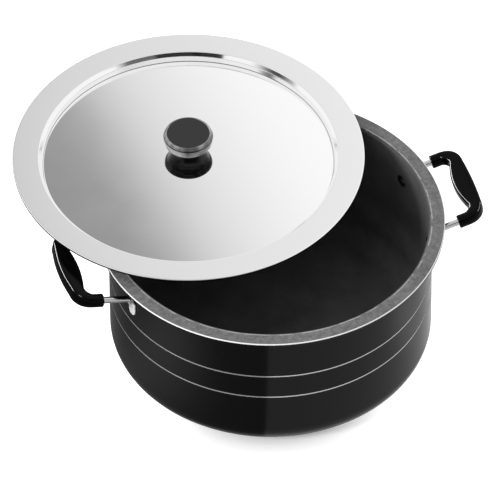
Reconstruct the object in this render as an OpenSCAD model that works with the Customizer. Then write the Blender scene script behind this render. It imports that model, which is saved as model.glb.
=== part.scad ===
// Deep biryani pot with its lid laid off-centre on the rim.
// Millimetres, +Z up. The origin is the centre of the pot's flat base, and the handles lie along X.

/* [Pot] */
// Outside diameter of the wall
pot_d = 269; // [250:1:276]
// Height from the base to the top of the rim
pot_h = 131.5; // [120:0.5:160]
// Thickness of the wall
pot_wall = 3; // [2.5:0.1:4]
// Thickness of the floor
floor_t = 3.5; // [3:0.1:5]
// Outside radius of the bottom corner
corner_r = 20; // [14:0.5:26]
// Radius of the rounded inner edge of the mouth
mouth_r = 2.4; // [1:0.1:2.4]

/* [Rim] */
// Width of the turned-out rim, outside the wall
rim_w = 10.5; // [8:0.5:12]
// Thickness of the rim
rim_t = 3; // [2:0.1:4]
// Radius of the neck between wall and rim
neck_r = 2; // [1:0.1:3]
// Rounding of the rim's outer edges
rim_edge_r = 0.5; // [0.2:0.1:0.9]

/* [Turned lines] */
// Height of the upper turned line
upper_line_z = 83; // [76:1:88]
// Height of the lower turned line
lower_line_z = 59; // [50:1:68]
// Radius of the tool that turned the lines
line_tool_r = 1; // [0.6:0.1:1.5]
// Depth of the lines
line_depth = 0.35; // [0.2:0.05:0.5]

/* [Lid] */
// Outside diameter of the lid
lid_d = 294; // [284:1:304]
// Thickness of the lid's sheet
lid_t = 0.8; // [0.6:0.1:1.2]
// Width of the lid's flat flange
flange_w = 21.8; // [18:0.2:25]
// Depth from the flange down to the floor
lid_depth = 8; // [6:0.5:9]
// Inside radius of the fold at the floor
floor_fold_r = 0.9; // [0.6:0.1:2]
// Inside radius of the fold at the flange
flange_fold_r = 1.3; // [0.6:0.1:2]
// Height of the turned-down outer edge, below its bend
hem_h = 0.3; // [0.2:0.1:3]
// Inside radius of the bend at the outer edge
hem_fold_r = 0.5; // [0.4:0.1:1]
// Where the lid's centre lies along X
lid_x = -45.2; // [-52:0.2:-38]
// Where the lid's centre lies along Y
lid_y = 84.8; // [76:0.2:90]

/* [Knob] */
// Height of the knob above the lid's floor
knob_h = 34; // [31:0.5:40]
// Diameter of the foot
knob_foot_d = 40; // [36:0.2:44]
// Radius of the foot's rounded side
knob_foot_r = 6; // [4:0.2:7]
// Height of the crease between the foot and the neck
knob_crease_h = 4.6; // [3:0.2:5.5]
// Diameter of the neck at its narrowest
knob_neck_d = 29.6; // [26:0.2:32]
// Height of the narrowest place above the lid's floor
knob_neck_h = 16.5; // [14:0.5:19]
// Radius between the neck and the head
knob_flare_r = 3; // [1:0.2:3.4]
// Height of the metal cap
cap_h = 9.6; // [9:0.1:12]
// Widest diameter of the metal cap
cap_d = 41.3; // [41:0.1:44]
// Diameter of the cap's lower edge
cap_low_d = 39.8; // [39:0.1:41]
// Distance from the top of the cap down to its shoulder
cap_shoulder = 2.8; // [2.4:0.1:4]
// Radius of the rounded bead round the disc
cap_bead_r = 2.2; // [1.6:0.1:2.3]
// Thickness of the cap's metal
cap_t = 0.7; // [0.5:0.1:1]
// Diameter of the disc let into the cap
disc_d = 35.6; // [33:0.2:36]
// Thickness of the disc
disc_t = 1.2; // [0.8:0.1:2]
// Distance of the disc below the top of the bead
disc_drop = 0.2; // [0:0.1:0.4]

/* [Knob screw] */
// Diameter of the screw
screw_d = 4; // [3:0.5:5]
// Length of the screw above the lid's floor
screw_l = 14; // [10:0.5:20]
// Diameter of the screw's head
screw_head_d = 8; // [7:0.5:10]
// Height of the screw's head
screw_head_h = 2.4; // [2:0.1:3.2]
// Diameter of the washer
washer_d = 12; // [11:0.5:16]
// Thickness of the washer
washer_t = 1; // [0.6:0.1:1.6]

/* [Handle wire] */
// Diameter of the wire
wire_d = 5.6; // [4.8:0.1:6]
// Distance between the two legs
leg_gap = 74; // [68:1:80]
// Angle at which the handle rises outwards
rise = 12.5; // [8:0.5:16]
// Radius of the bend at the wall, on the wire's centre line
foot_bend_r = 3.6; // [3.2:0.1:5]
// Radius of the wire's bends inside the grip, on its centre line
wire_bend_r = 9; // [7:0.5:11]
// Width of the flattened foot
foot_w = 8.5; // [7.5:0.1:10]
// Thickness of the flattened foot
foot_t = 1.8; // [1.4:0.1:2.4]
// Distance from the rivet down to the end of the foot
foot_drop = 9.5; // [7:0.5:12]

/* [Rivets] */
// Distance from the top of the rim down to the rivets
rivet_drop = 26.5; // [26:0.5:30]
// Diameter of the rivet's shank
shank_d = 3.6; // [3:0.1:4]
// Diameter of the head inside the pot
inner_head_d = 7; // [6:0.5:9]
// Height of the head inside the pot
inner_head_h = 2.2; // [1.5:0.1:3]
// Diameter of the head on the foot
outer_head_d = 5.6; // [5:0.1:5.8]
// Height of the head on the foot
outer_head_h = 1.2; // [0.8:0.1:2]

/* [Grip] */
// Distance from the wall to the end of the right grip's sleeves, level with the handle's middle
right_gap = 17.4; // [17:0.2:23]
// Distance from the wall to the end of the left grip's sleeves, level with the handle's middle
left_gap = 21.6; // [17:0.2:23]
// Distance from the top of the rim down to the wire, at the end of the sleeves
grip_drop = 12.2; // [11.5:0.1:15]
// Distance from the end of the sleeves to the middle of the bar
grip_reach = 19; // [17:0.5:24]
// Diameter of the round sleeves, and thickness of the bar
sleeve_d = 11.2; // [10:0.2:13]
// How much wider the bar is at its middle than the sleeves
bar_swell = 5.4; // [2:0.2:9]
// How far the middle of the bar bows in towards the pot
bar_bow = 1.2; // [0:0.1:1.5]
// Radius of the grip's corners, on its centre line
grip_corner_r = 11.5; // [10:0.5:13]
// Squareness of the bar's section, where 2 is an ellipse
bar_square = 3.2; // [2.2:0.1:4]
// Rounding of the sleeve's end
sleeve_edge_r = 0.8; // [0.4:0.1:1.2]

/* [Fits] */
// Gap between the wall and a foot
foot_gap = 0.1; // [0.05:0.05:0.2]
// Radial clearance of rivets and of the wire in its grip
bore_gap = 0.1; // [0.05:0.05:0.2]
// Radial clearance of the screw in the lid
screw_gap = 0.3; // [0.2:0.05:0.5]

/* [Hidden] */
// Turn about the pot's axis that puts each handle in its place
right_turn = 0;
left_turn = 180;
// Overlap that keeps cuts and joins clean
eps = 1;
pot_r = pot_d / 2;
rim_r = pot_r + rim_w;
inner_r = pot_r - pot_wall;
// Where the sleeves end and the rivets sit
function grip_x(gap) = pot_r + gap;
grip_z = pot_h - grip_drop;
rivet_z = pot_h - rivet_drop;
wire_r = wire_d / 2;
leg_y = leg_gap / 2;
sleeve_r = sleeve_d / 2;
// The upright start of the wire just clears the wall
wire_wall_r = pot_r + foot_gap + wire_r;
foot_turn = asin(leg_y / wire_wall_r);
bend_x = sqrt(pow(wire_wall_r, 2) - pow(leg_y, 2));
// Height at which the wire starts to bend outwards
function bend_z(gap) = grip_z + leg_start(gap) * sin(rise) - foot_bend_r * cos(rise);
foot_face_r = pot_r + foot_gap;
// Where the leg begins, measured back from the sleeve's end along the leg
function leg_start(gap) = (bend_x + foot_bend_r * (1 - sin(rise)) - grip_x(gap)) / cos(rise);
// The knob's head, the metal cap on it and the disc in the cap
cap_z = knob_h - cap_h;
cap_skin = cap_t + bore_gap;
disc_z = knob_h - disc_drop - disc_t;
// Where the foot's rounded side and the neck meet in a crease
foot_x = knob_foot_d / 2 - knob_foot_r;
crease_x = foot_x + sqrt(pow(knob_foot_r, 2) - pow(knob_crease_h, 2));
// Circle that shapes the neck: it touches the narrowest place and ends at the crease
neck_x = knob_neck_d / 2;
neck_arc_r = (pow(knob_neck_h - knob_crease_h, 2) + pow(crease_x - neck_x, 2)) / (2 * (crease_x - neck_x));
// Half of the bar between the grip's corners
bar_half = leg_y - grip_corner_r;
// Facets of the grip's section, of a corner and of the bar
ring_n = 24;
corner_n = 7;
bar_n = 12;

// Shape that rounds off a corner at the origin, for a solid that fills the quadrant +X +Y
module round_off(r) {
    difference() {
        translate([-eps, -eps]) square(r + eps);
        translate([r, r]) circle(r = r, $fn = 96);
    }
}

// Shape that fills a hollow corner at the origin with a radius, reaching a little into the walls
module fillet(r, into) {
    difference() {
        translate([-into, -into]) square(r + into);
        translate([r, r]) circle(r = r, $fn = 96);
    }
}

// Section of the pot, to the right of its axis
module pot_section() {
    difference() {
        union() {
            square([pot_r, pot_h]);
            translate([0, pot_h - rim_t]) square([rim_r, rim_t]);
            translate([pot_r, pot_h - rim_t]) mirror([0, 1]) fillet(neck_r, rim_t / 2);
        }
        // rounded bottom corner
        translate([pot_r, 0]) mirror([1, 0]) round_off(corner_r);
        // inside of the pot
        difference() {
            translate([-eps, floor_t]) square([inner_r + eps, pot_h]);
            translate([inner_r, floor_t]) mirror([1, 0]) round_off(corner_r - pot_wall);
        }
        // rounded edge of the mouth, and the two edges of the rim
        translate([inner_r, pot_h]) mirror([0, 1]) round_off(mouth_r);
        translate([rim_r, pot_h]) mirror([1, 0]) mirror([0, 1]) round_off(rim_edge_r);
        translate([rim_r, pot_h - rim_t]) mirror([1, 0]) round_off(rim_edge_r);
        // two fine turned lines
        for (z = [upper_line_z, lower_line_z])
            translate([pot_r + line_tool_r - line_depth, z]) circle(r = line_tool_r, $fn = 32);
    }
}

// Puts something on a rivet's axis: X points outwards from the pot's axis
module on_rivet(leg) {
    rotate([0, 0, leg * foot_turn]) translate([0, 0, rivet_z]) children();
}

module pot_body() {
    color([0.03, 0.03, 0.031]) difference() {
        rotate_extrude($fn = 180) pot_section();
        for (turn = [right_turn, left_turn], leg = [-1, 1])
            rotate([0, 0, turn]) on_rivet(leg) translate([inner_r - pot_wall, 0, 0])
                rotate([0, 90, 0]) cylinder(d = shank_d + 2 * bore_gap, h = 3 * pot_wall, $fn = 32);
    }
}

// Section of the lid's sheet, with the underside of its floor at height 0
module lid_section() {
    fold_r = lid_d / 2 - flange_w - flange_fold_r - lid_t;
    top_z = lid_depth + lid_t;
    hem_l = hem_h + hem_fold_r + lid_t;
    difference() {
        union() {
            square([fold_r + lid_t, lid_t]);
            translate([fold_r, 0]) square([lid_t, top_z]);
            translate([fold_r, lid_depth]) square([lid_d / 2 - fold_r, lid_t]);
            translate([lid_d / 2 - lid_t, top_z - hem_l]) square([lid_t, hem_l]);
            translate([fold_r, lid_t]) mirror([1, 0]) fillet(floor_fold_r, lid_t / 2);
            translate([fold_r + lid_t, lid_depth]) mirror([0, 1]) fillet(flange_fold_r, lid_t / 2);
            translate([lid_d / 2 - lid_t, lid_depth]) rotate(180) fillet(hem_fold_r, lid_t / 2);
        }
        translate([fold_r + lid_t, 0]) mirror([1, 0]) round_off(floor_fold_r + lid_t);
        translate([fold_r, top_z]) mirror([0, 1]) round_off(flange_fold_r + lid_t);
        translate([lid_d / 2, top_z]) rotate(180) round_off(hem_fold_r + lid_t);
        translate([-eps, -eps]) square([screw_d / 2 + screw_gap + eps, lid_t + 2 * eps]);
    }
}

// Puts something where the lid lies: height 0 is the underside of the lid's floor, on the rim
module on_lid() {
    translate([lid_x, lid_y, pot_h]) children();
}

module lid_plate() {
    color([0.85, 0.85, 0.86]) on_lid() rotate_extrude($fn = 180) lid_section();
}

// Outline of the head under the metal cap, and of the cap itself when it is grown by its metal
module head_section(grow) {
    low_x = cap_low_d / 2 - cap_skin + grow;
    wide_x = cap_d / 2 - cap_skin + grow;
    bead_x = disc_d / 2 + bore_gap;
    bead_r = cap_bead_r - cap_skin + grow;
    bead_z = knob_h - cap_bead_r;
    shoulder_z = knob_h - cap_shoulder - cap_skin + grow;
    polygon([
        [0, cap_z], [low_x, cap_z], [wide_x, shoulder_z - 0.6], [wide_x - 0.5, shoulder_z], [0, shoulder_z]
    ]);
    translate([0, cap_z]) square([bead_x, bead_z + bead_r - cap_z]);
    translate([bead_x, bead_z]) circle(r = bead_r, $fn = 64);
}

// Outline of the neck and foot below the head
module neck_section() {
    difference() {
        square([crease_x, cap_z + eps]);
        translate([neck_x + neck_arc_r, knob_neck_h]) circle(r = neck_arc_r, $fn = 128);
    }
    difference() {
        union() {
            square([foot_x, knob_crease_h]);
            translate([foot_x, 0]) circle(r = knob_foot_r, $fn = 96);
        }
        translate([-eps, -2 * knob_foot_r]) square([knob_foot_d + 2 * eps, 2 * knob_foot_r]);
        translate([-eps, knob_crease_h]) square([knob_foot_d, 2 * knob_foot_r]);
    }
    // flare under the head
    translate([neck_x, cap_z]) mirror([0, 1]) fillet(knob_flare_r, eps);
}

module knob_base() {
    color([0.03, 0.03, 0.03]) on_lid() translate([0, 0, lid_t]) difference() {
        rotate_extrude($fn = 96) difference() {
            union() {
                neck_section();
                head_section(0);
            }
            // seat of the disc
            translate([-eps, disc_z]) square([cap_d, knob_h]);
        }
        translate([0, 0, -eps]) cylinder(d = screw_d + 2 * bore_gap, h = screw_l + 2 * eps, $fn = 32);
    }
}

module knob_cap() {
    color([0.4, 0.4, 0.41]) on_lid() translate([0, 0, lid_t]) rotate_extrude($fn = 96) difference() {
        head_section(cap_skin);
        head_section(bore_gap);
        translate([-eps, disc_z - eps]) square([disc_d / 2 + bore_gap + eps, knob_h]);
    }
}

module knob_disc() {
    color([0.05, 0.05, 0.052]) on_lid() translate([0, 0, lid_t + disc_z])
        cylinder(d = disc_d, h = disc_t, $fn = 96);
}

module knob_screw() {
    slot_w = screw_d / 4;
    color([0.75, 0.75, 0.76]) on_lid() difference() {
        union() {
            translate([0, 0, -washer_t]) cylinder(d = screw_d, h = lid_t + screw_l + washer_t, $fn = 32);
            translate([0, 0, -washer_t - screw_head_h])
                cylinder(d = screw_head_d, h = screw_head_h, $fn = 48);
        }
        translate([-screw_head_d, -slot_w / 2, -washer_t - screw_head_h - eps])
            cube([2 * screw_head_d, slot_w, screw_head_h / 2 + eps]);
    }
}

module knob_washer() {
    color([0.75, 0.75, 0.76]) on_lid() translate([0, 0, -washer_t]) difference() {
        cylinder(d = washer_d, h = washer_t, $fn = 64);
        translate([0, 0, -eps]) cylinder(d = screw_d + 2 * screw_gap, h = washer_t + 2 * eps, $fn = 32);
    }
}

// Puts something in the plane of a handle: X runs out along the legs from the sleeve's end
module in_handle(gap) {
    translate([grip_x(gap), 0, grip_z]) rotate([0, -rise, 0]) children();
}

// Flattened end of the wire, flat on the wall, with its rivet hole
module foot(leg, gap) {
    top = outer_head_d / 2 + bore_gap;
    difference() {
        union() {
            on_rivet(leg) translate([foot_face_r, 0, 0]) {
                translate([0, -foot_w / 2, foot_w / 2 - foot_drop])
                    cube([foot_t, foot_w, foot_drop - foot_w / 2 + top + 0.2]);
                translate([0, 0, foot_w / 2 - foot_drop]) rotate([0, 90, 0])
                    cylinder(d = foot_w, h = foot_t, $fn = 48);
                // the round wire goes over into the flat foot
                hull() {
                    translate([0, -foot_w / 2, top]) cube([foot_t, foot_w, 0.2]);
                    translate([wire_r, 0, bend_z(gap) - rivet_z - 0.4])
                        cylinder(r = 0.97 * wire_r, h = 0.8, $fn = 24);
                }
            }
        }
        on_rivet(leg) translate([foot_face_r - eps, 0, 0]) rotate([0, 90, 0])
            cylinder(d = shank_d + 2 * bore_gap, h = foot_t + 2 * eps, $fn = 32);
    }
}

// Bent wire from foot to foot, as a round bar of radius r, without the feet
module wire_run(r, from, gap) {
    in_handle(gap) {
        for (leg = [-1, 1]) {
            translate([from, leg * leg_y, 0]) rotate([0, 90, 0])
                cylinder(r = r, h = grip_reach - wire_bend_r - from, $fn = 32);
            translate([grip_reach - wire_bend_r, leg * (leg_y - wire_bend_r), 0])
                rotate([0, 0, leg > 0 ? 0 : -90]) rotate_extrude(angle = 90, $fn = 64)
                    translate([wire_bend_r, 0]) circle(r = r, $fn = 32);
        }
        translate([grip_reach, wire_bend_r - leg_y, 0]) rotate([-90, 0, 0])
            cylinder(r = r, h = 2 * (leg_y - wire_bend_r), $fn = 32);
    }
}

module handle_wire(gap) {
    color([0.8, 0.8, 0.82]) {
        wire_run(wire_r, leg_start(gap), gap);
        for (leg = [-1, 1]) {
            // bend from the leg down to the upright foot
            in_handle(gap) translate([leg_start(gap), leg * leg_y, -foot_bend_r]) rotate([90, 0, 0])
                rotate([0, 0, 90]) rotate_extrude(angle = 90 - rise, $fn = 64)
                    translate([foot_bend_r, 0]) circle(r = wire_r, $fn = 32);
            foot(leg, gap);
        }
    }
}

// Rises from 0 at the ends of the bar to 1 at its middle
function hump(v) = (1 + cos(180 * v / bar_half)) / 2;

// A station is the centre point in the handle's plane, the angle of its outer side,
// the half width and the squareness of the section
function leg_stations() = [
    for (s = [[0, 1], [0.3, 0.3], [1, 0]])
        [[s[0] * sleeve_edge_r, leg_y], 90, sleeve_r - s[1] * sleeve_edge_r, 2],
    [[(grip_reach - grip_corner_r + sleeve_edge_r) / 2, leg_y], 90, sleeve_r, 2]
];
function corner_stations() = [
    for (i = [0 : corner_n])
        let (a = 90 - 90 * i / corner_n)
            [[grip_reach - grip_corner_r + grip_corner_r * cos(a), bar_half + grip_corner_r * sin(a)],
                a, sleeve_r, 2 + (bar_square - 2) * i / corner_n]
];
function bar_stations() = [
    for (i = [1 : bar_n - 1])
        let (v = bar_half * cos(180 * i / bar_n))
            [[grip_reach - bar_bow * hump(v), v], 0, sleeve_r + bar_swell * hump(v) / 2, bar_square]
];
function flip(list) = [
    for (i = [len(list) - 1 : -1 : 0])
        [[list[i][0][0], -list[i][0][1]], -list[i][1], list[i][2], list[i][3]]
];
function grip_stations() =
    concat(leg_stations(), corner_stations(), bar_stations(), flip(corner_stations()), flip(leg_stations()));

// Signed power, which squares up an ellipse
function squared(x, n) = sign(x) * pow(abs(x), 2 / n);

// Points of one section, round from its outer side over the top
function ring(s) = [
    for (k = [0 : ring_n - 1])
        let (
            t = 360 * k / ring_n,
            out = s[2] * squared(cos(t), s[3]),
            up = min(s[2], sleeve_r) * squared(sin(t), s[3])
        )
            [s[0][0] + out * cos(s[1]), s[0][1] + out * sin(s[1]), up]
];

module grip_form() {
    stations = grip_stations();
    n = len(stations);
    points = [for (s = stations) each ring(s)];
    sides = [
        for (i = [0 : n - 2], k = [0 : ring_n - 1])
            let (
                a = i * ring_n + k,
                b = i * ring_n + (k + 1) % ring_n
            )
                each [[a, b, b + ring_n], [a, b + ring_n, a + ring_n]]
    ];
    first = [for (k = [ring_n - 1 : -1 : 0]) k];
    last = [for (k = [0 : ring_n - 1]) (n - 1) * ring_n + k];
    polyhedron(points = points, faces = concat([first], sides, [last]), convexity = 6);
}

module handle_grip(gap) {
    color([0.03, 0.03, 0.03]) difference() {
        in_handle(gap) grip_form();
        wire_run(wire_r + bore_gap, -eps, gap);
    }
}

// Rivet through wall and foot, with a domed head inside the pot and a flatter one on the foot
module rivet(leg) {
    inner_seat = sqrt(pow(inner_r, 2) - pow(inner_head_d / 2, 2));
    outer_seat = foot_face_r + foot_t;
    color([0.6, 0.6, 0.61]) on_rivet(leg) rotate([0, 90, 0]) rotate_extrude($fn = 48) {
        translate([0, inner_seat]) mirror([0, 1]) head_cap(inner_head_d / 2, inner_head_h);
        translate([0, inner_seat - 0.1]) square([shank_d / 2, outer_seat - inner_seat + 0.2]);
        translate([0, outer_seat]) head_cap(outer_head_d / 2, outer_head_h);
    }
}

// Half of a flat dome of radius r and height h, standing on the X axis
module head_cap(r, h) {
    dome_r = (r * r + h * h) / (2 * h);
    intersection() {
        translate([0, h - dome_r]) circle(r = dome_r, $fn = 128);
        square([r, h]);
    }
}

module left_handle_wire() { rotate([0, 0, left_turn]) handle_wire(left_gap); }
module right_handle_wire() { rotate([0, 0, right_turn]) handle_wire(right_gap); }
module left_handle_grip() { rotate([0, 0, left_turn]) handle_grip(left_gap); }
module right_handle_grip() { rotate([0, 0, right_turn]) handle_grip(right_gap); }
module left_front_rivet() { rotate([0, 0, left_turn]) rivet(1); }
module left_rear_rivet() { rotate([0, 0, left_turn]) rivet(-1); }
module right_front_rivet() { rotate([0, 0, right_turn]) rivet(-1); }
module right_rear_rivet() { rotate([0, 0, right_turn]) rivet(1); }

pot_body();
lid_plate();
knob_base();
knob_cap();
knob_disc();
knob_screw();
knob_washer();
left_handle_wire();
right_handle_wire();
left_handle_grip();
right_handle_grip();
left_front_rivet();
left_rear_rivet();
right_front_rivet();
right_rear_rivet();
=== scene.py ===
# %% [markdown]
# # A biryani pot with its lid laid on the rim
# The pot is a deep aluminium pressing with a dark satin coat, and its bright steel lid lies off-centre
# on the rim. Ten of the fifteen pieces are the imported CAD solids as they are. This script gives every
# piece its finish, makes the other five again because their facets would show, and sets up a small
# white studio.
# Lengths are in metres. X points to the right-hand handle and Z up, with the table at Z = 0.

# %% Load the frame
import bpy
import numpy as np
from math import cos, sin, radians
from mathutils import Matrix, Vector


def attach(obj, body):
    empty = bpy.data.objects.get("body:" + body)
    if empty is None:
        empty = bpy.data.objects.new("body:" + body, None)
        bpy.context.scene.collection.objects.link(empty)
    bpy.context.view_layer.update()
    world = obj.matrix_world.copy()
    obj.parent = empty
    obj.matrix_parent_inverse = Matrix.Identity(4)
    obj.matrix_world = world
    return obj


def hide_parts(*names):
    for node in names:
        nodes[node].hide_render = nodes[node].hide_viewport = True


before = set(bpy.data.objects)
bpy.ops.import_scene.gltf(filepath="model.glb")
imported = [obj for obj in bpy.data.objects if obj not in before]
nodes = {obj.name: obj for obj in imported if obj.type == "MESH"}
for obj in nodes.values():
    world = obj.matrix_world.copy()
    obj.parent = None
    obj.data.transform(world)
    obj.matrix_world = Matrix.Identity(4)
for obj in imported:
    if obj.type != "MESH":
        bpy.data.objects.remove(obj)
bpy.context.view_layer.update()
scene = bpy.context.scene
print("pieces in the frame:", len(nodes))

# %% [markdown]
# ## The camera
# A lens can be chosen by eye, by moving a camera until the picture looks right, or by fitting. Fitting
# was chosen, because the picture is full of circles: a circle's ellipse tells the height angle, and how
# fast the circles shrink with distance tells the lens. The rim, the lid and the turned lines agree on a
# long lens far away, 45 degrees above the table and turned 17 degrees from the line square to the
# handles. A camera takes a matrix whose columns are its right, its up and its backward direction.

# %% Stand the camera where the photograph was taken
PHOTO_SIDE = 500                 # pixels along each side of the photograph
LENS_IN_PIXELS = 9000
AIM_OFF_CENTRE = (-20.41, 0.5)   # pixels from the fitted axis to the picture's middle, right and up
DISTANCE, AXIS_ABOVE = 7.5516, 0.0677      # from the pot's base, along the view and square to it
height_angle, turn_angle, roll_angle = radians(44.95), radians(17.0), radians(-0.2)

ahead = np.array([cos(height_angle) * sin(turn_angle), cos(height_angle) * cos(turn_angle),
                  -sin(height_angle)])
level = np.array([cos(turn_angle), -sin(turn_angle), 0.0])
above = np.cross(level, ahead)
camera_place = -DISTANCE * ahead + AXIS_ABOVE * above
right = cos(roll_angle) * level + sin(roll_angle) * above
up = cos(roll_angle) * above - sin(roll_angle) * level

look = LENS_IN_PIXELS * ahead + AIM_OFF_CENTRE[0] * right + AIM_OFF_CENTRE[1] * up
look = look / np.linalg.norm(look)
right = right - look * right.dot(look)
right = right / np.linalg.norm(right)
up = np.cross(right, look)

camera = bpy.data.objects.new("camera", bpy.data.cameras.new("camera"))
scene.collection.objects.link(camera)
camera.data.sensor_width = 36.0
camera.data.lens = LENS_IN_PIXELS * camera.data.sensor_width / PHOTO_SIDE
camera.data.clip_end = 100.0
camera.matrix_world = Matrix((
    (right[0], up[0], -look[0], camera_place[0]),
    (right[1], up[1], -look[1], camera_place[1]),
    (right[2], up[2], -look[2], camera_place[2]),
    (0, 0, 0, 1)))
scene.camera = camera
print("camera stands", round(float(np.linalg.norm(camera_place)), 2), "m away with a lens of",
      round(camera.data.lens), "mm")

# %% [markdown]
# ## Writing shader maths as Python
# A Blender material is a set of nodes joined by links. Long chains of Math nodes are hard to read, so a
# socket is wrapped in a small class whose operators add those nodes. A written expression such as
# `1 - mask * 0.5` then reads as it would on paper. Every other node comes from one method.

# %% A socket that can be used in an expression
class Value:
    """An output socket. Arithmetic with it adds Math nodes, and node() adds any other kind."""

    def __init__(self, tree, socket):
        self.tree, self.socket = tree, socket

    def node(self, kind, settings=None, inputs=None, output=0):
        """Adds a node, sets its settings first, and then fills its sockets with values or links."""
        new = self.tree.nodes.new(kind)
        for name, setting in (settings or {}).items():
            if name == "stops":
                ramp = new.color_ramp
                ramp.elements.remove(ramp.elements[-1])
                for place, grey in setting[1:]:
                    ramp.elements.new(place)
                for stop, (place, grey) in zip(ramp.elements, setting):
                    stop.position = place
                    stop.color = (grey, grey, grey, 1)
            else:
                setattr(new, name, setting)
        for name, value in (inputs or {}).items():
            if isinstance(value, Value):
                self.tree.links.new(value.socket, new.inputs[name])
            else:
                new.inputs[name].default_value = value
        return Value(self.tree, new.outputs[output])

    def maths(self, operation, first, second=0.0):
        """One Math node on two numbers or Values."""
        return self.node("ShaderNodeMath", {"operation": operation}, {0: first, 1: second})

    def __add__(self, other): return self.maths("ADD", self, other)
    def __radd__(self, other): return self.maths("ADD", other, self)
    def __sub__(self, other): return self.maths("SUBTRACT", self, other)
    def __rsub__(self, other): return self.maths("SUBTRACT", other, self)
    def __mul__(self, other): return self.maths("MULTIPLY", self, other)
    def __rmul__(self, other): return self.maths("MULTIPLY", other, self)
    def __truediv__(self, other): return self.maths("DIVIDE", self, other)
    def __rtruediv__(self, other): return self.maths("DIVIDE", other, self)
    def __pow__(self, other): return self.maths("POWER", self, other)

    def rise(self, low, high):
        """0 below low, 1 above high, and a smooth step between; low may be the greater one."""
        return self.node("ShaderNodeMapRange", {"interpolation_type": "SMOOTHSTEP"},
                         {"Value": self, "From Min": low, "From Max": high})

    def band(self, centre, half, soft):
        """1 within half of centre, falling to 0 over a further width soft."""
        off = self.maths("ABSOLUTE", self - centre)
        return 1 - off.rise(half, half + soft)

print("a Value takes + - * / and ** with a number on either side")

# %% A material and its inputs
def new_finish(name, **plain):
    """A material with one Principled shader. The plain values are set on the shader's own sockets.
    Gives the material, its shader and the surface's place in the object as a Value."""
    material = bpy.data.materials.new(name)
    material.use_nodes = True
    tree = material.node_tree
    shader = tree.nodes["Principled BSDF"]
    for socket, value in plain.items():
        shader.inputs[socket.replace("_", " ")].default_value = value
    place = tree.nodes.new("ShaderNodeTexCoord")
    return material, shader, Value(tree, place.outputs["Object"])

def apply(shader, socket, value):
    """Lets a Value drive one socket of the shader."""
    value.tree.links.new(value.socket, shader.inputs[socket])

def axes(place):
    """The X, Y and Z of a place, as three Values."""
    split = place.node("ShaderNodeSeparateXYZ", None, {"Vector": place})
    parts = split.socket.node.outputs
    return [Value(place.tree, parts[i]) for i in range(3)]

def dress(material, *names):
    """Gives the material to the CAD nodes' own slots."""
    for name in names:
        for slot in nodes[name].material_slots:
            slot.material = material

print("slots to dress:", sum(len(piece.material_slots) for piece in nodes.values()))

# %% Noise, mixed colours and bumps
def noise(place, scale, detail=2.0, roughness=0.5, stretch=None):
    """Soft random values about 0.5, with scale in waves a metre."""
    if stretch:
        place = place.node("ShaderNodeMapping", None, {"Vector": place, "Scale": stretch})
    return place.node("ShaderNodeTexNoise", None,
                      {"Vector": place, "Scale": scale, "Detail": detail, "Roughness": roughness})

def colour_mix(factor, first, second):
    """A colour that goes from first to second as the factor rises from 0 to 1."""
    as_colour = lambda c: c if isinstance(c, Value) else (*c, 1.0)
    return factor.node("ShaderNodeMix", {"data_type": "RGBA"},
                       {0: factor, 6: as_colour(first), 7: as_colour(second)}, output=2)

def bump(height, distance, strength=1.0):
    """A normal that is tilted by a height in metres."""
    return height.node("ShaderNodeBump", None,
                       {"Height": height, "Distance": distance, "Strength": strength})

print("helpers made:", noise.__name__, colour_mix.__name__, bump.__name__)

# %% [markdown]
# ## The coat of the pot
# On the real pot an aluminium pressing is coated near-black, and a tool in a lathe then turns two thin
# lines through the coat to the uncoated metal. The rim's top is a speckled grey, and its outer edge is
# turned bright. A painted highlight lies on the mouth's rounded edge, broken up where the coat is worn.
# The lines and the rim could be separate pieces with their own materials. Masks in one shader were
# chosen, because a coat has no thickness that shows: the height and the distance to the axis say where
# metal, rim or inside begins. The outside mirrors the table, so it is smooth, while the inside is dull.

# %% Where the coat changes
RIM_TOP, POT_RADIUS, MOUTH_EDGE, RIM_OUTSIDE = 0.1315, 0.1345, 0.1339, 0.145
UPPER_LINE, LOWER_LINE = 0.083, 0.059        # heights of the turned lines
LINE_HALF, LINE_SOFT = 0.0004, 0.0003        # half of a line's width, and its soft edge
coat, coat_shader, place = new_finish("dark_satin_coat", Specular_IOR_Level=0.15)
x, y, z = axes(place)
axis_distance = (x * x + y * y) ** 0.5
is_wall = axis_distance.rise(POT_RADIUS - 0.0016, POT_RADIUS - 0.0010)
is_inside = 1 - axis_distance.rise(MOUTH_EDGE - 0.0024, MOUTH_EDGE)
on_rim = z.rise(RIM_TOP - 0.0004, RIM_TOP - 0.0002)
turned = z.band(UPPER_LINE, LINE_HALF, LINE_SOFT) + z.band(LOWER_LINE, LINE_HALF, LINE_SOFT)
turned = turned * is_wall
print("the rim is", round((RIM_OUTSIDE - MOUTH_EDGE) * 1000, 1), "mm wide from the mouth to its edge")

# %% Wear and a painted highlight on the rim, and painted shadow round the rivets
LEG_Y, RIVET_Z = 0.037, RIM_TOP - 0.0265     # half of the way between a handle's legs, and rivet height
RIVET_SHADOW_START, RIVET_SHADOW_END = 0.0046, 0.0062          # where the painted shadow round a rivet's head fades out
grain = noise(place, 700, 3.0, 0.7)
patches = noise(place, 28, 4.0, 0.6)
wobble = noise(place, 60, 3.0) * 0.0012 - 0.0004
# A painted highlight on the mouth's rounded edge, broken up by noise where the coat is worn.
mouth_wear_and_highlight = axis_distance.band(MOUTH_EDGE + wobble, 0.00025, 0.0003)
mouth_wear_and_highlight = mouth_wear_and_highlight * on_rim * noise(place, 90, 2.0).rise(0.38, 0.55)
outermost = axis_distance.rise(RIM_OUTSIDE - 0.0008, RIM_OUTSIDE - 0.0006)
turned_edge = outermost * z.rise(RIM_TOP - 0.0010, RIM_TOP - 0.0007)
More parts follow.
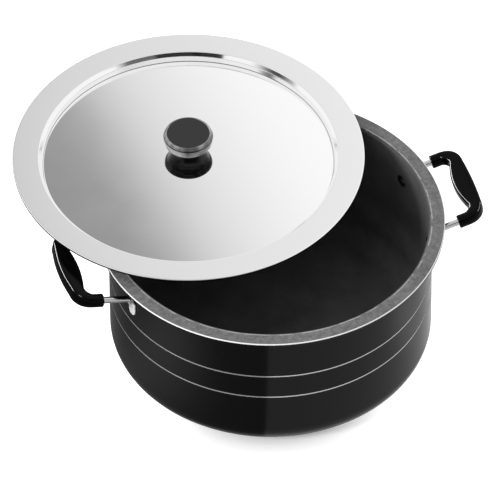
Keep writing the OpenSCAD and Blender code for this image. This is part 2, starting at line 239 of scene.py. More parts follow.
# The turned lines, the turned outer edge and the painted highlight share one bright colour.
bare_metal_and_highlight = turned + turned_edge + mouth_wear_and_highlight * 0.35
# Painted shadow: a dark ring on the inside coat round each rivet's head.
from_rivet = ((y.maths("ABSOLUTE", y) - LEG_Y) ** 2.0 + (z - RIVET_Z) ** 2.0) ** 0.5
painted_rivet_shadow = (1 - from_rivet.rise(RIVET_SHADOW_START, RIVET_SHADOW_END)) * is_inside
print("rivets are", 2 * LEG_Y, "m apart and", RIVET_Z, "m above the table")

# %% Finish of the pot
wall_colour = colour_mix(patches, (0.0022, 0.0022, 0.0023), (0.0034, 0.0034, 0.0035))
inside_grey = patches.rise(0.25, 0.75) * 0.6 + grain * 0.4
inside_colour = colour_mix(inside_grey, (0.05, 0.05, 0.051), (0.11, 0.11, 0.112))
blotches = noise(place, 220, 3.0, 0.6)
rim_grey = grain.rise(0.3, 0.75) * 0.35 + blotches.rise(0.3, 0.7) * 0.3 + patches * 0.35
rim_colour = colour_mix(rim_grey, (0.045, 0.045, 0.046), (0.24, 0.24, 0.243))
coat_colour = colour_mix(is_inside, wall_colour, inside_colour)
coat_colour = colour_mix(on_rim, coat_colour, rim_colour)
coat_colour = colour_mix(painted_rivet_shadow, coat_colour, (0.004, 0.004, 0.004))
apply(coat_shader, "Base Color", colour_mix(bare_metal_and_highlight, coat_colour, (0.74, 0.74, 0.75)))
apply(coat_shader, "Metallic", turned * 0.9)
apply(coat_shader, "Roughness", 0.12 + is_inside * 0.38 + on_rim * 0.3 + grain * 0.04)
apply(coat_shader, "Normal", bump(grain * (0.05 + is_inside + on_rim), 0.00002, 0.3))
dress(coat, "pot_body")
print("pot coated in", coat.name)

# %% [markdown]
# ## The black mouldings
# The grips and the knob's base are moulded in a black plastic that is filled so dark that nearly all it
# shows is reflection. On the grips a single gloss of low strength was chosen, because the photograph
# shows only thin bright lines on their edges and black between them. The knob's base is polished and
# handled, so it also has a thin coat, whose weight varies: that gives its foot a paler edge and soft
# patches, as worn polish does.

# %% Finish of the black mouldings
moulding, moulding_shader, place = new_finish("black_moulding", Specular_IOR_Level=0.06,
                                              Coat_Roughness=0.05)
plastic = colour_mix(noise(place, 120, 2.0), (0.0008, 0.0008, 0.0008), (0.0016, 0.0016, 0.0016))
apply(moulding_shader, "Base Color", plastic)
in_knob = axes(place)[2].rise(RIM_TOP + 0.0003, RIM_TOP + 0.0007)
apply(moulding_shader, "Roughness", 0.1 + in_knob * 0.16 + noise(place, 300, 3.0) * 0.08)
polish = noise(place, 75, 2.0).rise(0.42, 0.58)
apply(moulding_shader, "Coat Weight", in_knob * (0.04 + polish * 0.26))
dress(moulding, "knob_base", "left_handle_grip", "right_handle_grip")
print("knob base and grips are of", moulding.name)

# %% [markdown]
# ## The knob's head
# A pressed steel dish clads the head of the knob, with a bead round a grey disc and a crease below the
# bead. The crease is in the solid, and the shade in it is painted, as a thin dark band in the shader.
# Stretched noise stands for the brushing round the dish, and slower noise for the uneven shine that
# fingers leave. The disc is a matt lacquered insert, so it hardly mirrors.

# %% Finish of the knob's cap
CREASE_Z = 0.1634                       # height of the crease below the cap's bead
cap_steel, cap_shader, place = new_finish("brushed_cap_steel", Metallic=1.0)
# Painted shade: a thin dark band in the crease under the bead.
painted_crease_shade = axes(place)[2].band(CREASE_Z, 0.0003, 0.0004)
brushing = noise(place, 90, 3.0, 0.5, (1, 1, 12)) * 0.3 + noise(place, 85, 1.0).rise(0.35, 0.65) * 0.7
brushed = colour_mix(brushing, (0.08, 0.08, 0.081), (0.52, 0.52, 0.524))
apply(cap_shader, "Base Color", colour_mix(painted_crease_shade, brushed, (0.06, 0.06, 0.061)))
apply(cap_shader, "Roughness", 0.16 + noise(place, 200, 2.0) * 0.08)
dress(cap_steel, "knob_cap")
print("cap finished in", cap_steel.name)

# %% Finish of the knob's disc, screw and washer
disc_grey, disc_shader, place = new_finish("grey_disc", Specular_IOR_Level=0.3)
lacquer = colour_mix(noise(place, 500, 3.0), (0.014, 0.014, 0.0145), (0.019, 0.019, 0.02))
apply(disc_shader, "Base Color", lacquer)
apply(disc_shader, "Roughness", 0.5 + noise(place, 300, 2.0) * 0.1)
dress(disc_grey, "knob_disc")
screw_steel, screw_shader, place = new_finish("screw_steel", Metallic=1.0)
plating = colour_mix(noise(place, 300, 2.0), (0.55, 0.55, 0.56), (0.7, 0.7, 0.71))
apply(screw_shader, "Base Color", plating)
apply(screw_shader, "Roughness", 0.3 + noise(place, 500, 2.0) * 0.1)
dress(screw_steel, "knob_screw", "knob_washer")
print("disc finished in", disc_grey.name, "and screw in", screw_steel.name)

# %% [markdown]
# ## Wires and rivets
# The handle wire is drawn steel, plated bright. Its feet are hammered flat and stay duller, so they
# scatter light where the round wire mirrors it. One material could serve each part, but the foot and
# the wire are one piece of steel, so the distance to the pot's axis turns the one into the other. The
# rivets are soft aluminium, and the pot's coat covers their heads inside.

# %% Finish of the wires
FOOT_FACE, WIRE_START = 0.1370, 0.1385   # distance to the pot's axis where a foot ends and its wire begins
bright_wire, wire_shader, place = new_finish("bright_wire", Metallic=1.0)
x, y = axes(place)[:2]
on_foot = 1 - ((x * x + y * y) ** 0.5).rise(FOOT_FACE, WIRE_START)
drawn = colour_mix(noise(place, 200, 3.0), (0.55, 0.55, 0.56), (0.68, 0.68, 0.69))
apply(wire_shader, "Base Color", colour_mix(on_foot, drawn, (0.82, 0.82, 0.83)))
apply(wire_shader, "Metallic", 1 - on_foot * 0.6)
apply(wire_shader, "Roughness", 0.12 + noise(place, 400, 3.0) * 0.12)
dress(bright_wire, "left_handle_wire", "right_handle_wire")
print("wires finished in", bright_wire.name)

# %% Finish of the rivets
INSIDE_RADIUS = 0.132                        # between the inner head and the shank
rivet_metal, rivet_shader, place = new_finish("rivet_aluminium", Metallic=0.5)
x, y = axes(place)[:2]
coated_head = 1 - ((x * x + y * y) ** 0.5).rise(INSIDE_RADIUS - 0.0002, INSIDE_RADIUS + 0.0002)
head_colour = colour_mix(noise(place, 500, 3.0), (0.5, 0.5, 0.51), (0.68, 0.68, 0.69))
apply(rivet_shader, "Base Color", colour_mix(coated_head, head_colour, (0.012, 0.012, 0.012)))
apply(rivet_shader, "Roughness", 0.28 + noise(place, 700, 3.0) * 0.12)
dress(rivet_metal, "left_front_rivet", "left_rear_rivet", "right_front_rivet", "right_rear_rivet")
print("rivets finished in", rivet_metal.name)

# %% [markdown]
# ## Fine skins in place of facets
# Polished steel and glossy black show every facet of a solid as a broken reflection. A subdivision of
# the solid would smooth it, but it would also soften the edges that carry the highlights. So the lid,
# the grips and the wires are worked out again as surfaces of two parameters. Half of their area lies
# within about 0.2 mm of the solids. The lid's fold is up to 1.4 mm off, and the grips, which are squarer
# here, up to 2 mm. One way is a section carried along a path: point (s, v) lies at distance s along the
# path and at angle v round the section. The section is a superellipse, whose power n takes it from
# round at n = 2 to nearly square at n = 5.

# %% From arrays to a mesh
def make_mesh(name, points, face_groups):
    """Puts arrays of points and faces into a new object, smooth shaded. If the volume inside the faces
    is below zero, all of them are turned round."""
    mesh = bpy.data.meshes.new(name)
    mesh.vertices.add(len(points))
    mesh.vertices.foreach_set("co", points.astype(np.float32).ravel())
    corners = np.concatenate([g.ravel() for g in face_groups])
    sizes = np.concatenate([np.full(len(g), g.shape[1]) for g in face_groups])
    mesh.loops.add(len(corners))
    mesh.loops.foreach_set("vertex_index", corners.astype(np.int32))
    mesh.polygons.add(len(sizes))
    mesh.polygons.foreach_set("loop_start", np.concatenate([[0], np.cumsum(sizes)[:-1]]).astype(np.int32))
    mesh.update(calc_edges=True)
    mesh.shade_smooth()
    if signed_volume(mesh) < 0:
        mesh.flip_normals()
    piece = bpy.data.objects.new(name, mesh)
    scene.collection.objects.link(piece)
    return piece

def signed_volume(mesh):
    """Six times the volume inside the faces: below zero when they point inwards."""
    mesh.calc_loop_triangles()
    at = np.empty(len(mesh.vertices) * 3)
    mesh.vertices.foreach_get("co", at)
    triangles = np.empty(len(mesh.loop_triangles) * 3, np.int32)
    mesh.loop_triangles.foreach_get("vertices", triangles)
    a, b, c = at.reshape(-1, 3)[triangles.reshape(-1, 3)].transpose(1, 0, 2)
    return float((a * np.cross(b, c)).sum())

print("helpers made:", make_mesh.__name__, signed_volume.__name__)

# %% A section carried along a path
def powered(x, power):
    """Sign of x times |x| to the given power: squares up a circle."""
    return np.sign(x) * np.abs(x) ** power

def swept(name, middle, out, side, half_out, half_side, square, around):
    """Point (s, v) = middle(s) + half_out(s) cos(v)^(2/n) out(s) + half_side(s) sin(v)^(2/n) side(s).
    The first and last rings are closed to a point, so the skin has no hole."""
    v = 2 * np.pi * np.arange(around) / around
    bend = 2.0 / square[:, None]
    across_out = half_out[:, None] * powered(np.cos(v)[None, :], bend)
    across_side = half_side[:, None] * powered(np.sin(v)[None, :], bend)
    rings = (middle[:, None, :] + across_out[..., None] * out[:, None, :]
             + across_side[..., None] * side[:, None, :])
    count = len(middle)
    points = np.concatenate([rings.reshape(-1, 3), middle[:1], middle[-1:]])
    i, k = np.meshgrid(np.arange(count - 1), np.arange(around), indexing="ij")
    following = (k + 1) % around
    quads = np.stack([i * around + k, i * around + following,
                      (i + 1) * around + following, (i + 1) * around + k], -1)
    k = np.arange(around)
    first = np.stack([np.full(around, count * around), (k + 1) % around, k], -1)
    last_ring = (count - 1) * around
    last = np.stack([np.full(around, count * around + 1), last_ring + k,
                     last_ring + (k + 1) % around], -1)
    return make_mesh(name, points, [quads.reshape(-1, 4), first, last])

print("sweeps ready, with a square corner of", round(float(powered(0.7071, 0.4)), 3))

# %% [markdown]
# ## The lid
# The lid is one disc of bright steel, pressed between two dies: a flat floor, a steep fold up to a flat
# flange, and an edge bent down. Its section could be a list of points. It is drawn the way a plate
# roller thinks instead, because that gives smooth bends: so much length at this slope, then a bend,
# then the next length. The running sum of the slopes gives the points and their normals, and the
# normals give the under side. A pressed floor is never quite flat, and the photograph's shade runs
# across it faster than a flat mirror's would, so a slight crown tilts the normals. It is only in the
# shader, because the floor has to rest flat on the rim.

# %% Finish of the lid
LID_CENTRE, LID_RADIUS = (-0.0452, 0.0848), 0.14695
FLOOR_EDGE, CROWN = 0.1206, 0.171        # where the flat floor ends, and its slight curvature in 1/m
FLANGE_EDGE, FLANGE_DISH = 0.1256, 0.0055    # where the flange starts, and its slight slope
HEM_TIP = 0.13268                        # height of the tip of the edge that is bent down
lid_steel, lid_shader, place = new_finish("polished_lid_steel", Metallic=1.0)
x, y, z = axes(place)
off_x, off_y = x - LID_CENTRE[0], y - LID_CENTRE[1]
from_centre = (off_x * off_x + off_y * off_y) ** 0.5
over_floor = from_centre.maths("MINIMUM", from_centre, FLOOR_EDGE)
# Painted shade: the cut edge and a thin band at the tip of the bent-down edge are nearly black.
shaded_cut_edge = from_centre.rise(LID_RADIUS - 0.00025, LID_RADIUS)
corner = z.band(HEM_TIP, 0.00024, 0.0001)
wear = noise(place, 30, 4.0)
steel_colour = colour_mix(wear, (0.90, 0.90, 0.902), (0.93, 0.93, 0.932))
apply(lid_shader, "Base Color", colour_mix(shaded_cut_edge + corner * 0.85, steel_colour, (0.03, 0.03, 0.031)))
apply(lid_shader, "Roughness", 0.06 + wear * 0.04)
over_flange = from_centre.maths("MAXIMUM", from_centre, FLANGE_EDGE)
sheet_height = over_floor * over_floor * (-CROWN / 2) + over_flange * FLANGE_DISH
apply(lid_shader, "Normal", bump(sheet_height, 1.0))
print("the floor's crown is", round(CROWN / 2 * FLOOR_EDGE ** 2 * 1000, 2), "mm high in the shader")

# %% A section drawn by lengths and slopes
def rolled(lengths, slopes, samples):
    """Section whose slope goes evenly from one angle to the next along each length. Its points are the
    running sum of (cos slope, sin slope) times the step, and its normals are (-sin slope, cos slope)."""
    steps, angles = [np.zeros(1)], [np.array([slopes[0][0]])]
    for length, (begin, end), count in zip(lengths, slopes, samples):
        steps.append(np.full(count, length / count))
        angles.append(begin + (end - begin) * (np.arange(count) + 0.5) / count)
    steps, angles = np.concatenate(steps), np.radians(np.concatenate(angles))
    points = np.stack([np.cumsum(steps * np.cos(angles)), np.cumsum(steps * np.sin(angles))], -1)
    mean = np.append((angles[1:] + angles[:-1]) / 2, angles[-1])
    return points, np.stack([-np.sin(mean), np.cos(mean)], -1)

print("a quarter bend of 1 mm ends at", rolled([0.001], [(0, 90)], [8])[0][-1].round(5))

# %% A section turned round an axis
def revolved(name, section, centre, around):
    """Point (i, a) = centre + (radius(i) cos a, radius(i) sin a, height(i)). The section is a closed
    loop, so the skin is closed as well and keeps a hole at the axis."""
    a = 2 * np.pi * np.arange(around) / around
    radius, height = section[:, :1], section[:, 1:]
    points = np.stack([radius * np.cos(a) + centre[0], radius * np.sin(a) + centre[1],
                       np.repeat(height, around, 1)], -1)
    i, k = np.meshgrid(np.arange(len(section)), np.arange(around), indexing="ij")
    next_i, next_k = (i + 1) % len(section), (k + 1) % around
    quads = np.stack([i * around + k, i * around + next_k,
                      next_i * around + next_k, next_i * around + k], -1)
    return make_mesh(name, points.reshape(-1, 3), [quads.reshape(-1, 4)])

print("sections can be turned round the lid's axis at", LID_CENTRE)

# %% The lid's skin
LID_DEPTH, SHEET = 0.008, 0.0008             # of the fold, and the sheet's thickness
FLANGE_START, HOLE = 0.1253, 0.0023          # radii of the flange's inner edge and the screw's hole
SHORT = 0.0003                         # a short step keeps a flat flat up to where its bend begins
bends = [0.0007, 0.0, 0.0006, 0.0032, 0.0008]              # fillet, wall, bend, cone and flange bend
bend_slopes = [(0, 80), (80, 80), (80, 50), (50, 50), (50, 0)]
bend_samples = [8, 8, 6, 10, 10]
rest_height = rolled(bends, bend_slopes, bend_samples)[0][-1, 1]
bends[1] = (LID_DEPTH - rest_height) / sin(radians(80))
fold_width = rolled(bends, bend_slopes, bend_samples)[0][-1, 0]
HEM_BEND, HEM_DOWN = 0.0013, 0.0010          # lengths along the bend of the edge and down its side
hem_radius = HEM_BEND / (np.pi / 2)
floor_length, flange_length = FLANGE_START - fold_width - HOLE, LID_RADIUS - hem_radius - FLANGE_START
top, normals = rolled(
    [SHORT, floor_length - 2 * SHORT, SHORT, *bends,
     SHORT, flange_length - 2 * SHORT, SHORT, HEM_BEND, HEM_DOWN],
    [(0, 0), (0, 0), (0, 0), *bend_slopes, (0, 0), (0, 0), (0, 0), (0, -90), (-90, -90)],
    [1, 12, 1, *bend_samples, 1, 6, 1, 12, 3])
under = (top - SHEET * normals)[::-1]
section = np.concatenate([top, under])
lid = revolved("lid", section + np.array([HOLE, RIM_TOP + SHEET]), LID_CENTRE, 480)
lid.data.materials.append(lid_steel)
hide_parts("lid_plate")
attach(lid, "root")
print(lid.name, "has", len(lid.data.polygons), "faces")
print("its fold is", round(fold_width * 1000, 2), "mm wide")

# %% [markdown]
# ## The grips
# A grip is one moulding: two round sleeves, two corners and a bar that is flat on top and widens
# towards its middle, so that it fills the hand. It lies in a plane that rises outwards, so it is drawn
# in that plane and then turned onto the pot. The middle line is an arc-length path, the squareness
# grows through the corners, and the bar's swell is a parabola, because the photograph shows one smooth
# curve from corner to corner. The skin is closed over the channel that the wire runs in.

# %% The plane of a handle
GRIP_DROP, RISE, REACH = 0.0122, radians(12.5), 0.019    # below the rim, its slope, and out to the bar
GRIP_GAP = {"right": 0.0174, "left": 0.0216}             # from the wall to where a sleeve starts

def on_handle(side, flat):
    """Takes points of a handle's own plane (out along the legs, along the bar, above) to the pot."""
    out, along_bar, above_plane = flat[..., 0], flat[..., 1], flat[..., 2]
    x = POT_RADIUS + GRIP_GAP[side] + out * cos(RISE) - above_plane * sin(RISE)
    z = RIM_TOP - GRIP_DROP + out * sin(RISE) + above_plane * cos(RISE)
    turn = 1.0 if side == "right" else -1.0
    return np.stack([turn * x, turn * along_bar, z], -1)

def direction_on_handle(side, flat):
    """The same turn for directions, which have no place."""
    return on_handle(side, flat) - on_handle(side, np.zeros(3))

print("right grip's middle lies at", on_handle("right", np.array([REACH, 0, 0])).round(4))

# %% The path of a grip
SLEEVE, CORNER, SWELL = 0.0056, 0.0115, 0.0029           # radii, and how much wider the bar's middle is
BOW = {"right": 0.0019, "left": 0.0004}                  # how far the bar's middle is drawn in
BAR_SQUARE, END_ROUND, FOOT_EASE = 5.0, 0.0008, 0.01
STRAIGHT = REACH - CORNER                    # length of a sleeve before its corner
BAR_HALF = LEG_Y - CORNER                    # half of the bar between the corners

def grip_path(s, bow):
    """Middle and outward angle at distance s: a straight sleeve, a quarter circle, a bar that bows in,
    and the same again in reverse. The hump is a parabola over the bar, with its feet rounded off."""
    quarter = CORNER * np.pi / 2
    half = STRAIGHT + quarter + BAR_HALF
    other_side = np.where(s > half, -1.0, 1.0)
    q = half - np.abs(s - half)
    angle = np.clip((q - STRAIGHT) / CORNER, 0, np.pi / 2)
    outward = np.pi / 2 - angle
    along_bar = BAR_HALF + CORNER * np.sin(outward) - np.maximum(q - STRAIGHT - quarter, 0)
    arch = 1 - ((half - q) / BAR_HALF) ** 2
    hump = (arch + np.sqrt(arch ** 2 + FOOT_EASE)) / 2
    out = np.minimum(q, STRAIGHT) + CORNER * np.sin(angle) - bow * hump
    corner_share = angle / (np.pi / 2)
    return out, along_bar * other_side, outward * other_side, hump, corner_share, q

print("a bar is", 2 * BAR_HALF, "m long between its corners")

# %% The grips
grips = []
for side in ("right", "left"):
    total = 2 * (STRAIGHT + CORNER * np.pi / 2 + BAR_HALF)
    ends = END_ROUND * (1 - np.cos(np.linspace(0, np.pi / 2, 9)))
    s = np.concatenate([ends, np.linspace(END_ROUND, total - END_ROUND, 150)[1:-1], total - ends[::-1]])
    out, along_bar, outward, hump, corner_share, q = grip_path(s, BOW[side])
    edge = END_ROUND - np.sqrt(np.maximum(END_ROUND ** 2 - np.maximum(END_ROUND - q, 0) ** 2, 0))
    smooth_share = corner_share ** 2 * (3 - 2 * corner_share)
    zeros = np.zeros_like(s)
    grip = swept(
        side + "_grip", on_handle(side, np.stack([out, along_bar, zeros], -1)),
        direction_on_handle(side, np.stack([np.cos(outward), np.sin(outward), zeros], -1)),
        direction_on_handle(side, np.stack([zeros, zeros, zeros + 1], -1)),
        SLEEVE - edge + SWELL * hump, SLEEVE - edge + zeros, 2 + (BAR_SQUARE - 2) * smooth_share, 96)
    grip.data.materials.append(moulding)
    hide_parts(side + "_handle_grip")
    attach(grip, "root")
    grips.append(grip)
    print(grip.name, "has", len(grip.data.polygons), "faces")

# %% [markdown]
# ## The handle wires
# A press flattens each end of a length of bright round wire, a jig bends it to the handle, and its feet
# are turned down along the wall, where one rivet holds each. Foot, bends and legs could be separate
# pieces set together. One sweep from foot to foot was chosen, because the real wire is one length and
# no seam may show where it bends. Along the foot the section goes from a flat plate with a round end
# to a circle. The skin has no hole for the rivet, whose head covers the place.
#
# A known fault is left here. The mirrored half's sideways direction has the wrong sign, so the skin
# turns inside out at the middle of the bar, hidden in the grip, and the faces of one half point
# inwards. The volumes of the halves cancel, so make_mesh can't tell. Metal looks the same from both
# sides, so the renders don't show it. FLIP in place of -FLIP for across_wire mends it.

# %% The foot of a wire
WIRE, FOOT_BEND, WIRE_BEND = 0.0028, 0.0036, 0.009       # radii of the wire and of its two bends
FOOT_GAP, FOOT_HALF_WIDTH, FOOT_HALF_THICK = 0.0001, 0.00425, 0.0009
TIP_EASE = 0.0006                            # over this height the tip thins to an edge
FOOT_END, PLATE_TOP = 0.0095, 0.0030         # from the rivet down to the tip, and up to the flat's end
TIP_Z = RIVET_Z - FOOT_END
WALL_TO_WIRE = POT_RADIUS + FOOT_GAP + WIRE
FOOT_TURN = np.arcsin(LEG_Y / WALL_TO_WIRE)

def foot_rings(bend_z):
    """Rings from the tip up to bend_z, for a foot on the +Y side of the right handle: middle, outward
    and sideways directions, half sizes and squareness. The tip is half a circle, and a smooth share
    then takes the flat plate to the round wire and turns it from the wall's direction to straight."""
    tip_steps = FOOT_HALF_WIDTH * (1 - np.cos(np.linspace(0, np.pi / 2, 14)))
    low = np.concatenate([tip_steps, np.linspace(FOOT_HALF_WIDTH, bend_z - TIP_Z, 34)[1:]])
    share = np.clip((low + TIP_Z - RIVET_Z - PLATE_TOP) / (bend_z - RIVET_Z - PLATE_TOP), 0, 1)
    share = share * share * (3 - 2 * share)
    tip_round = np.sqrt(1 - np.maximum(1 - low / FOOT_HALF_WIDTH, 0) ** 2)
    half_side = FOOT_HALF_WIDTH * tip_round * (1 - share) + WIRE * share
    half_out = FOOT_HALF_THICK * (1 - share) + WIRE * share
    from_axis = (POT_RADIUS + FOOT_GAP + half_out)[:, None]
    half_out = half_out * np.sqrt(np.clip(low / TIP_EASE, 0.0, 1.0))
    turn = FOOT_TURN * (1 - share)
    middle = from_axis * np.array([cos(FOOT_TURN), sin(FOOT_TURN), 0.0])
    middle[:, 2] = low + TIP_Z
    out = np.stack([np.cos(turn), np.sin(turn), 0 * low], -1)
    sideways_on = np.stack([-np.sin(turn), np.cos(turn), 0 * low], -1)
    return middle, out, sideways_on, half_out, half_side, 5 - 3 * share

print("a foot's tip is", round(TIP_Z * 1000, 1), "mm above the table")

# %% The bend above a foot, and the leg
BEND_X = WALL_TO_WIRE * cos(FOOT_TURN)

def leg_start(side):
    """Place along the handle's plane where the bend above the foot has come down to the plane's slope."""
    return (BEND_X + FOOT_BEND * (1 - sin(RISE)) - POT_RADIUS - GRIP_GAP[side]) / cos(RISE)

def bend_rings(bend_z):
    """A part circle from upright to the leg's slope: (1 - cos f, 0, sin f) times the bend's radius."""
    f = np.linspace(0, np.pi / 2 - RISE, 22)[1:]
    middle = np.stack([BEND_X + FOOT_BEND * (1 - np.cos(f)), LEG_Y + 0 * f,
                       bend_z + FOOT_BEND * np.sin(f)], -1)
    return middle, np.stack([np.cos(f), 0 * f, -np.sin(f)], -1), np.tile([0.0, 1.0, 0.0], (len(f), 1))

def leg_rings(side):
    """Leg, quarter circle and half of the bar, drawn flat in the handle's plane and then put in place."""
    x = np.linspace(leg_start(side), REACH - WIRE_BEND, 10)[1:]
    g = np.linspace(0, np.pi / 2, 16)[1:]
    y = np.linspace(LEG_Y - WIRE_BEND, 0, 6)[1:-1]
    flat = np.concatenate([
        np.stack([x, LEG_Y + 0 * x, 0 * x], -1),
        np.stack([REACH - WIRE_BEND * (1 - np.sin(g)), LEG_Y - WIRE_BEND * (1 - np.cos(g)), 0 * g], -1),
        np.stack([REACH + 0 * y, y, 0 * y], -1)])
    lean = np.concatenate([0 * x, g, np.pi / 2 + 0 * y])
    plane_side = np.stack([np.sin(lean), np.cos(lean), 0 * lean], -1)
    below = direction_on_handle("right", np.array([0.0, 0.0, -1.0]))
    middle = on_handle("right", flat) + np.array([GRIP_GAP[side] - GRIP_GAP["right"], 0, 0])
    return middle, np.tile(below, (len(flat), 1)), direction_on_handle("right", plane_side)

print("a right leg starts", round(leg_start("right") * 1000, 1), "mm from the sleeve's end")

# %% Half of a wire
def wire_half(side):
    """All rings from the tip of a foot to the middle of the bar."""
    bend_z = RIM_TOP - GRIP_DROP + leg_start(side) * sin(RISE) - FOOT_BEND * cos(RISE)
    *foot, half_out, half_side, square = foot_rings(bend_z)
    joined = [np.concatenate(parts) for parts in zip(foot, bend_rings(bend_z), leg_rings(side))]
    round_rings = np.ones(len(joined[0]) - len(square))
    return (*joined, np.concatenate([half_out, WIRE * round_rings]),
            np.concatenate([half_side, WIRE * round_rings]), np.concatenate([square, 2 * round_rings]))

print("half of the right wire has", len(wire_half("right")[0]), "rings")

# %% The wires
FLIP = np.array([1.0, -1.0, 1.0])            # mirrors a half across the handle's middle

def both(half, mirror):
    """A half of a wire's rings, and then its mirrored copy in reverse."""
    return np.concatenate([half, (half * mirror)[::-1]])

for side, turn in (("right", 1.0), ("left", -1.0)):
    middle, out, across_wire, half_out, half_side, square = wire_half(side)
    about = np.array([turn, turn, 1.0])
    wire = swept(side + "_wire", both(middle, FLIP) * about, both(out, FLIP) * about,
                 both(across_wire, -FLIP) * about, both(half_out, 1), both(half_side, 1),
                 both(square, 1), 40)
    wire.data.materials.append(bright_wire)
    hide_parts(side + "_handle_wire")
    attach(wire, "root")
    print(wire.name, "has", len(wire.data.polygons), "faces")

# %% [markdown]
# ## The sky
# Polished metal shows its surroundings, so the look of the lid is mostly the look of the room. A round
# picture of a studio would bring its own picture data. The room is written as a function of direction
# instead: a bright sweep of paper behind, shaded from left to right, which gives the lid's floor its
# slanting shade, white beside it, and dark places in front, where the camera and the dark low part of
# the room stood. They give the fold its dark bands. The ceiling is a little darker than the paper, so
# that the lid also looks like steel from above. Only glossy rays see this room. Diffuse rays see plain
# white, and the camera sees pure white.

# %% Directions as the camera sees them
AWAY = np.array([sin(turn_angle), cos(turn_angle), 0.0])      # level, away from the camera
SIDE = np.array([cos(turn_angle), -sin(turn_angle), 0.0])     # level, to the camera's right

def along(place, direction):
    """How far a place or direction lies along a fixed direction."""
    return place.node("ShaderNodeVectorMath", {"operation": "DOT_PRODUCT"},
                      {0: place, 1: tuple(map(float, direction))}, output="Value")

print("away from the camera is", AWAY.round(3), "and its right is", SIDE.round(3))

# %% The sheet of paper that the lid mirrors
world = bpy.data.worlds.new("white_sky")
world.use_nodes = True
scene.world = world
tree = world.node_tree
toward = Value(tree, tree.nodes.new("ShaderNodeTexCoord").outputs["Generated"])
rays = tree.nodes.new("ShaderNodeLightPath")
seen = Value(tree, rays.outputs["Is Camera Ray"])
mirrored = Value(tree, rays.outputs["Is Glossy Ray"])

MIRROR_LEVEL, MIRROR_HEIGHT = cos(height_angle), sin(height_angle)   # where a flat lid's mirror looks
DEGREES = 57.3 / MIRROR_LEVEL                            # degrees a unit of direction, seen from there
lateral, height = along(toward, SIDE), along(toward, (0, 0, 1))
sideways, upwards = lateral * DEGREES, (height - MIRROR_HEIGHT) * DEGREES
HALF_WIDE, HALF_HIGH, FADE = 7.0, 9.0, 5.0               # the paper's half sizes and soft edge, in degrees
SHADE_LIMIT, SLANT, SHADE_WIDTH = 6.0, 0.5, 8.0          # the shade slants over this height and width
beside_paper = sideways.maths("ABSOLUTE", sideways).rise(HALF_WIDE, HALF_WIDE + FADE)
above_paper = upwards.maths("ABSOLUTE", upwards).rise(HALF_HIGH, HALF_HIGH + FADE)
upwards = upwards.maths("MAXIMUM", upwards.maths("MINIMUM", upwards, SHADE_LIMIT), -SHADE_LIMIT)
across = sideways - SLANT * upwards
paper = across.node("ShaderNodeValToRGB", {"stops": [
    (0.08, 0.295), (0.2, 0.37), (0.25, 0.475), (0.3, 0.62), (0.36, 0.725), (0.44, 0.79), (0.55, 0.86),
    (0.64, 0.91), (0.82, 1.0)]}, {"Fac": across * (1 / SHADE_WIDTH) + 0.5}) * 1.05
off_paper = beside_paper.maths("MAXIMUM", beside_paper, above_paper)
paper = paper + off_paper * (1.0 - paper)
print("the paper is shaded over", SHADE_WIDTH, "degrees from left to right")

# %% The dark places in front, and the whole sky
in_front = (0 - along(toward, AWAY)).rise(0.1, 0.2)
window = height.rise(0.45, 0.49) * (1 - height.rise(0.80, 0.85)) * in_front
dark_middle = lateral.rise(-0.37, -0.34) * (1 - lateral.rise(0.31, 0.35))
dim_right = lateral.rise(0.31, 0.35) * (1 - lateral.rise(0.58, 0.72))
low_room = (1 - height.rise(0.16, 0.22)) * in_front
dark_left = (1 - lateral.rise(-0.80, -0.60)) * lateral.rise(-0.99, -0.82) * in_front
dark_left = dark_left * (height - lateral * 0.5).band(0.848, 0.022, 0.014)   # a sloping stripe
overhead = height.rise(0.90, 0.99)
sky_level = paper * (1 - window * (dark_middle * 0.97 + dim_right * 0.85))
sky_level = sky_level * (1 - dark_left * 0.95) * (1 - low_room * 0.85) * (1 - overhead * 0.35)
plain = 0.75 + seen * 0.25
tree.links.new((plain + mirrored * (sky_level - plain)).socket, tree.nodes["Background"].inputs["Color"])
print("sky", world.name, "is plain to diffuse rays and a room to glossy rays")

# %% [markdown]
# ## The floor
# The pot stands on white. A floor bright enough to be white by lamps alone would wash out the pot, so
# the camera sees it with a glow of its own, and the glow fades in the narrow place under the front of
# the bottom's round corner, where the photograph keeps a soft shadow. The pot's wall mirrors the floor
# 45 degrees down. Glossy rays therefore see a floor of their own: dark on the left with one pale
# patch, light on the right, with a sharp border that gives the wall its upright edge of shade.

# %% The floor
def flat_sheet(name, corners):
    """A flat four-cornered mesh through the given corners."""
    mesh = bpy.data.meshes.new(name)
    mesh.from_pydata([tuple(c) for c in corners], [], [(0, 1, 2, 3)])
    sheet = bpy.data.objects.new(name, mesh)
    scene.collection.objects.link(sheet)
    return sheet

FLOOR_HALF, FLOOR_LEVEL = 12.0, -0.0002
corners = [(-1, -1), (1, -1), (1, 1), (-1, 1)]
floor = flat_sheet("floor", [(FLOOR_HALF * a, FLOOR_HALF * b, FLOOR_LEVEL) for a, b in corners])
print("the floor is", 2 * FLOOR_HALF, "m wide")

# %% What glossy rays see of the floor
floor_paint, floor_shader, place = new_finish("floor_paint", Roughness=0.9, Specular_IOR_Level=0.0,
                                              Emission_Strength=1.0)
tree = floor_paint.node_tree
rays = tree.nodes.new("ShaderNodeLightPath")
seen = Value(tree, rays.outputs["Is Camera Ray"])
mirrored = Value(tree, rays.outputs["Is Glossy Ray"])
right_of_pot, behind_pot = along(place, SIDE), along(place, AWAY)

def patch(centre, radius):
    """1 at a place on the floor, falling to 0 at the radius."""
    across_off, back_off = right_of_pot - centre[0], behind_pot - centre[1]
    return 1 - ((across_off * across_off + back_off * back_off) ** 0.5).rise(0.0, radius)

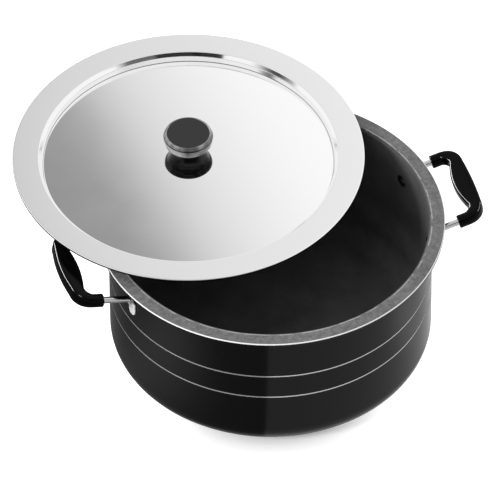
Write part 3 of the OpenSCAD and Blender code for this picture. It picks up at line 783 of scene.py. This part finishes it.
BORDER = -0.006                              # dark gives way to light just left of the pot's axis
left_level = 0.17 + patch((-0.168, -0.135), 0.12) * 0.5
right_level = 0.76 + patch((0.2, -0.05), 0.06) * 0.25
past_border = right_of_pot.rise(BORDER - 0.003, BORDER + 0.003)
mirror_level = left_level + past_border * (right_level - left_level)
print("glossy rays see a dark floor up to", BORDER, "m")

# %% The floor's paint
apply(floor_shader, "Base Color", colour_mix(mirrored, (0.8, 0.8, 0.8), (0.0, 0.0, 0.0)))
SHADOW_REACH, FRONT, MIDDLE = 0.04, -0.14, -0.07         # the shadow fades from the front to the middle
openness = place.node("ShaderNodeAmbientOcclusion", {"samples": 8}, {"Distance": SHADOW_REACH}, "AO")
contact = (1 - openness ** 2.4) * (1 - behind_pot.rise(FRONT, MIDDLE))
apply(floor_shader, "Emission Color", seen * 0.95 * (1 - contact) + mirrored * mirror_level)
floor.data.materials.append(floor_paint)
print("floor painted with", floor_paint.name)

# %% [markdown]
# ## The lamps
# Large softboxes light the pot evenly, so its colours render about as written. The key stands behind
# on the right, a weaker fill in front on the left, and a low one shines over the rim onto the inside
# of the right wall. Metal doesn't show them, because the sky above already says what metal shows. The
# thin bright lines on the grips' edges come from three more softboxes that light the grips alone.

# %% Softboxes
def softbox(name, place, aim, width, height, power, in_mirrors):
    """A rectangular lamp at place that faces aim; in_mirrors says whether glossy surfaces show it."""
    lamp = bpy.data.lights.new(name, "AREA")
    lamp.shape, lamp.size, lamp.size_y, lamp.energy = "RECTANGLE", width, height, power
    box = bpy.data.objects.new(name, lamp)
    scene.collection.objects.link(box)
    back = (Vector(place) - Vector(aim)).normalized()
    box.rotation_euler = back.to_track_quat("Z", "Y").to_euler()
    box.location = place
    box.visible_camera = False
    box.visible_glossy = in_mirrors
    return box

print("helper made:", softbox.__name__)

# %% Lamps for the whole pot
POT_MIDDLE = (0, 0, 0.1)
softbox("key_softbox", (0.7, 0.9, 2.0), POT_MIDDLE, 1.6, 1.6, 8, False)
softbox("fill_softbox", (-0.9, -0.8, 1.3), POT_MIDDLE, 0.8, 0.8, 3, False)
softbox("low_softbox", (-1.6, -0.5, 0.9), POT_MIDDLE, 0.5, 0.5, 22, False)
print("three softboxes light the whole pot")

# %% Lamps for the edges of the grips
only_grips = bpy.data.collections.new("only_grips")
for grip in grips:
    only_grips.objects.link(grip)
for lamp in (softbox("edge_softbox", (-1.24, 1.32, 0.75), POT_MIDDLE, 1.6, 0.45, 300, True),
             softbox("side_softbox", (1.44, 0.1, 1.35), POT_MIDDLE, 1.6, 0.3, 120, True),
             softbox("top_softbox", (-0.78, -0.3, 1.7), POT_MIDDLE, 0.35, 0.35, 50, True)):
    lamp.visible_diffuse = False
    lamp.light_linking.receiver_collection = only_grips

# %% [markdown]
# ## Closing
# The photograph's lid mirrors the room but not its own knob, as a retouched product picture does, so
# glossy rays pass the knob's pieces. The view transform is the plain one, which shows a colour as it
# is written.

# %% Mirrors and view
scene.view_settings.view_transform = "Standard"
for name in ("knob_base", "knob_cap", "knob_disc", "knob_screw", "knob_washer"):
    nodes[name].visible_glossy = False
print("view transform:", scene.view_settings.view_transform)
